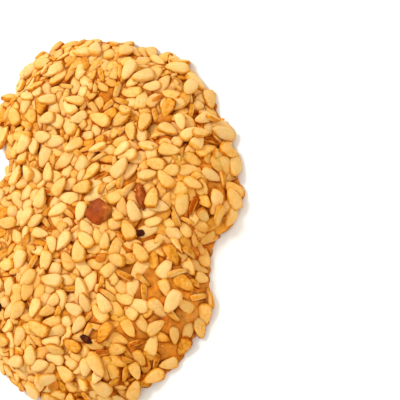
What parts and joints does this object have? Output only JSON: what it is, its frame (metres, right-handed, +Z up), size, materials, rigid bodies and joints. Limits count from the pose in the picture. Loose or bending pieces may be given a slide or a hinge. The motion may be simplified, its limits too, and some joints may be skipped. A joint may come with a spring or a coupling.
{
  "type": "sesame pistachio cookie",
  "caption": "Lobed, flat-bottomed crisp biscuit crusted with toasted sesame seeds and a few skin-on nut chips.",
  "frame": {"origin": "middle of the flat underside, under the middle of the cookie's outline", "axes": "+Z up out of the seeded face, +Y along the cookie's long axis towards its lobed end, +X across it"},
  "size_m": [0.0411, 0.0552, 0.0076],
  "materials": {
    "crust": "toasted sesame seeds over amber baked dough"
  },
  "bodies": {
    "root": {"cookie": "crust"}
  },
  "joints": []
}
